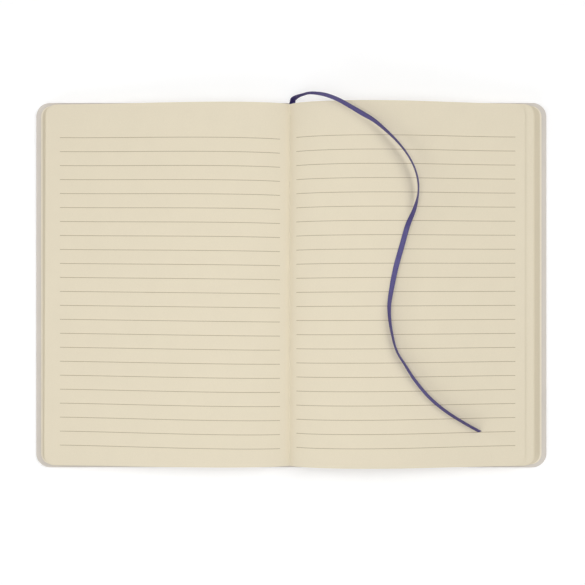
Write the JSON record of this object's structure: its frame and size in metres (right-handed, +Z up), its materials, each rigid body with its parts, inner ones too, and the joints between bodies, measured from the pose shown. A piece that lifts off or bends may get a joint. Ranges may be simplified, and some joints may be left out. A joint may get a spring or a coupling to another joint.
{
  "type": "ruled notebook",
  "caption": "Sewn ruled notebook lying open near its middle, with a wrapped cover, rounded corners and a ribbon marker.",
  "frame": {"origin": "under the middle of the spine, on the plane that the open cover lies on", "axes": "+X across the spread to the right page's fore-edge, +Y from tail to head, +Z up from the cover to the pages"},
  "size_m": [0.294, 0.2125, 0.0211],
  "materials": {
    "page_paper": "uncoated cream paper, ruled",
    "endpaper": "uncoated heavier cream paper",
    "cover_board": "grey-brown bookbinding board",
    "cover_skin": "matt off-white coated covering with a fine grain",
    "spine_cloth": "open-weave binding cloth on paper",
    "ribbon_satin": "woven satin with a soft sheen"
  },
  "bodies": {
    "block": {"text_block": "page_paper", "front_flyleaf": "endpaper", "back_flyleaf": "endpaper", "spine_lining": "spine_cloth", "spine_board": "cover_board", "spine_skin": "cover_skin", "ribbon": "ribbon_satin"},
    "front_cover": {"front_board": "cover_board", "front_skin": "cover_skin", "front_pastedown": "endpaper"},
    "back_cover": {"back_board": "cover_board", "back_skin": "cover_skin", "back_pastedown": "endpaper"}
  },
  "joints": [
    {"name": "front_hinge", "type": "hinge", "parent": "block", "child": "front_cover", "pos_m": [-0.00877, 0, 0.00085], "axis": [0, -1, 0], "range_deg": [0, 90]},
    {"name": "back_hinge", "type": "hinge", "parent": "block", "child": "back_cover", "pos_m": [0.00877, 0, 0.00085], "axis": [0, 1, 0], "range_deg": [0, 90]}
  ]
}
